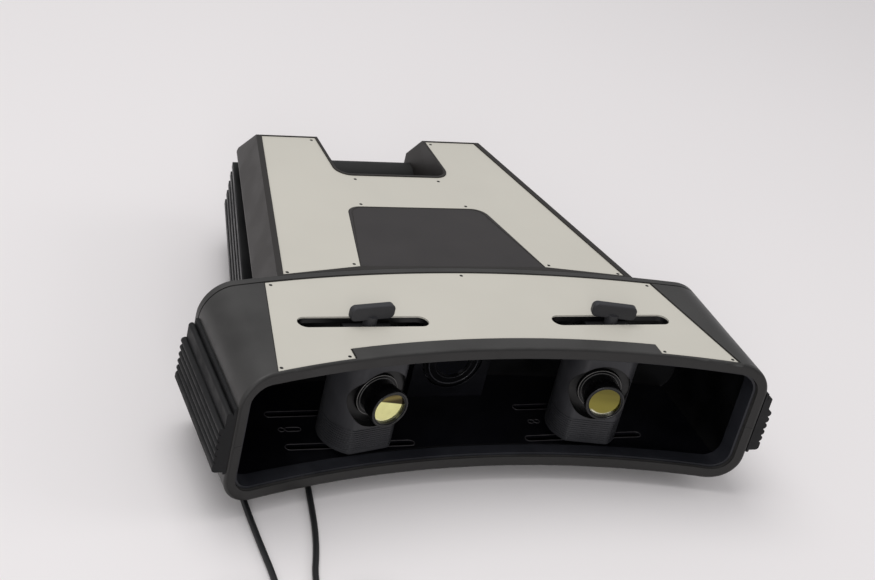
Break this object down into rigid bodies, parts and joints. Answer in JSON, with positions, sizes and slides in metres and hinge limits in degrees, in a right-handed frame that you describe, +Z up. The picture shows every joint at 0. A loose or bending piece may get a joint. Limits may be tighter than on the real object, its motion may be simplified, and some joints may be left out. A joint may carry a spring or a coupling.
{
  "type": "desktop 3d scanner",
  "caption": "Structured light 3d scanner: wide hood with a curved front, two sliding cameras and a projector, tapered body with a notch and carry bar.",
  "frame": {"origin": "middle of the scanner on the desk, under the centre of its bounding box without the leads", "axes": "+X to the right seen from the open front, +Y from the open front to the rear, +Z up"},
  "size_m": [0.5188, 0.6509, 0.1455],
  "materials": {
    "casing_dark": "fine textured dark casing",
    "panel_light": "satin warm light grey",
    "panel_dark": "satin dark plate",
    "liner_slate": "smooth slate grey",
    "floor_plate": "matt black",
    "grip_rubber": "ribbed rubber",
    "fin_black": "black finned moulding",
    "steel": "plain steel",
    "black_steel": "blackened steel",
    "rubber": "black rubber",
    "socket_black": "black moulding",
    "board": "coated circuit board",
    "anodised": "black anodised",
    "alloy": "bare alloy",
    "blue_glass": "blue coated",
    "yellow_filter": "yellow coated",
    "pod_black": "satin black",
    "lead_black": "soft black sheath",
    "handle_black": "soft black sleeve"
  },
  "bodies": {
    "scanner": {"hood_upper_shell": "casing_dark", "hood_lower_shell": "casing_dark", "hood_top_panel": "panel_light", "opening_liner": "liner_slate", "slotted_floor_plate": "floor_plate", "side_grip_left": "grip_rubber", "side_grip_right": "grip_rubber", "body_upper_case": "casing_dark", "body_lower_case": "casing_dark", "body_top_panel": "panel_light", "centre_panel": "panel_dark", "side_fins_left": "fin_black", "side_fins_right": "fin_black", "carry_handle": "handle_black", "base_plate": "floor_plate", "base_screws": "black_steel", "tripod_insert": "steel", "rubber_feet": "rubber", "panel_screws": "black_steel", "rear_panel_left": "black_steel", "rear_panel_right": "black_steel", "power_inlet": "socket_black", "data_socket": "socket_black", "fan_frame": "socket_black", "main_board": "board", "power_board": "board", "projector_shroud": "anodised", "projector_body": "alloy", "projector_lens_barrel": "anodised", "projector_glass": "blue_glass", "projector_heat_sink": "alloy", "power_connector": "socket_black", "power_lead": "lead_black", "power_lead_coil": "lead_black", "power_plug": "socket_black", "data_connector": "socket_black", "data_lead": "lead_black", "data_lead_coil": "lead_black", "data_plug": "socket_black"},
    "projector_ring": {"projector_focus_ring": "anodised"},
    "rocker": {"power_rocker": "socket_black"},
    "fan": {"fan_rotor": "socket_black"},
    "camera_unit_left": {"camera_carriage_left": "anodised", "camera_pod_left": "pod_black", "camera_body_left": "alloy", "lens_barrel_left": "anodised", "filter_glass_left": "yellow_filter"},
    "focus_left": {"focus_ring_left": "anodised"},
    "clamp_left": {"clamp_handle_left": "anodised"},
    "camera_unit_right": {"camera_carriage_right": "anodised", "camera_pod_right": "pod_black", "camera_body_right": "alloy", "lens_barrel_right": "anodised", "filter_glass_right": "yellow_filter"},
    "focus_right": {"focus_ring_right": "anodised"},
    "clamp_right": {"clamp_handle_right": "anodised"}
  },
  "joints": [
    {"name": "camera_slide_left", "type": "slide", "parent": "scanner", "child": "camera_unit_left", "axis": [1, 0, 0], "range_m": [-0.0538, 0.044]},
    {"name": "clamp_turn_left", "type": "hinge", "parent": "camera_unit_left", "child": "clamp_left", "pos_m": [-0.1054, -0.13345, 0.138], "axis": [0, 0, 1], "range_deg": [0, 180]},
    {"name": "focus_turn_left", "type": "hinge", "parent": "camera_unit_left", "child": "focus_left", "pos_m": [-0.0961, -0.16591, 0.0783], "axis": [0.2079, -0.9781, 0], "range_deg": [-60, 60]},
    {"name": "camera_slide_right", "type": "slide", "parent": "scanner", "child": "camera_unit_right", "axis": [1, 0, 0], "range_m": [-0.0486, 0.0492]},
    {"name": "clamp_turn_right", "type": "hinge", "parent": "camera_unit_right", "child": "clamp_right", "pos_m": [0.1101, -0.13345, 0.138], "axis": [0, 0, 1], "range_deg": [0, 180]},
    {"name": "focus_turn_right", "type": "hinge", "parent": "camera_unit_right", "child": "focus_right", "pos_m": [0.1008, -0.16591, 0.0783], "axis": [-0.2079, -0.9781, 0], "range_deg": [-60, 60]},
    {"name": "projector_focus_turn", "type": "hinge", "parent": "scanner", "child": "projector_ring", "pos_m": [0, -0.092, 0.0605], "axis": [0, 1, 0], "range_deg": [-45, 45]},
    {"name": "power_switch", "type": "hinge", "parent": "scanner", "child": "rocker", "pos_m": [-0.0815, 0.20335, 0.084], "axis": [1, 0, 0], "range_deg": [-16, 0]},
    {"name": "fan_spin", "type": "hinge", "parent": "scanner", "child": "fan", "pos_m": [0.0815, 0.2, 0.0675], "axis": [0, 1, 0], "continuous": true}
  ]
}
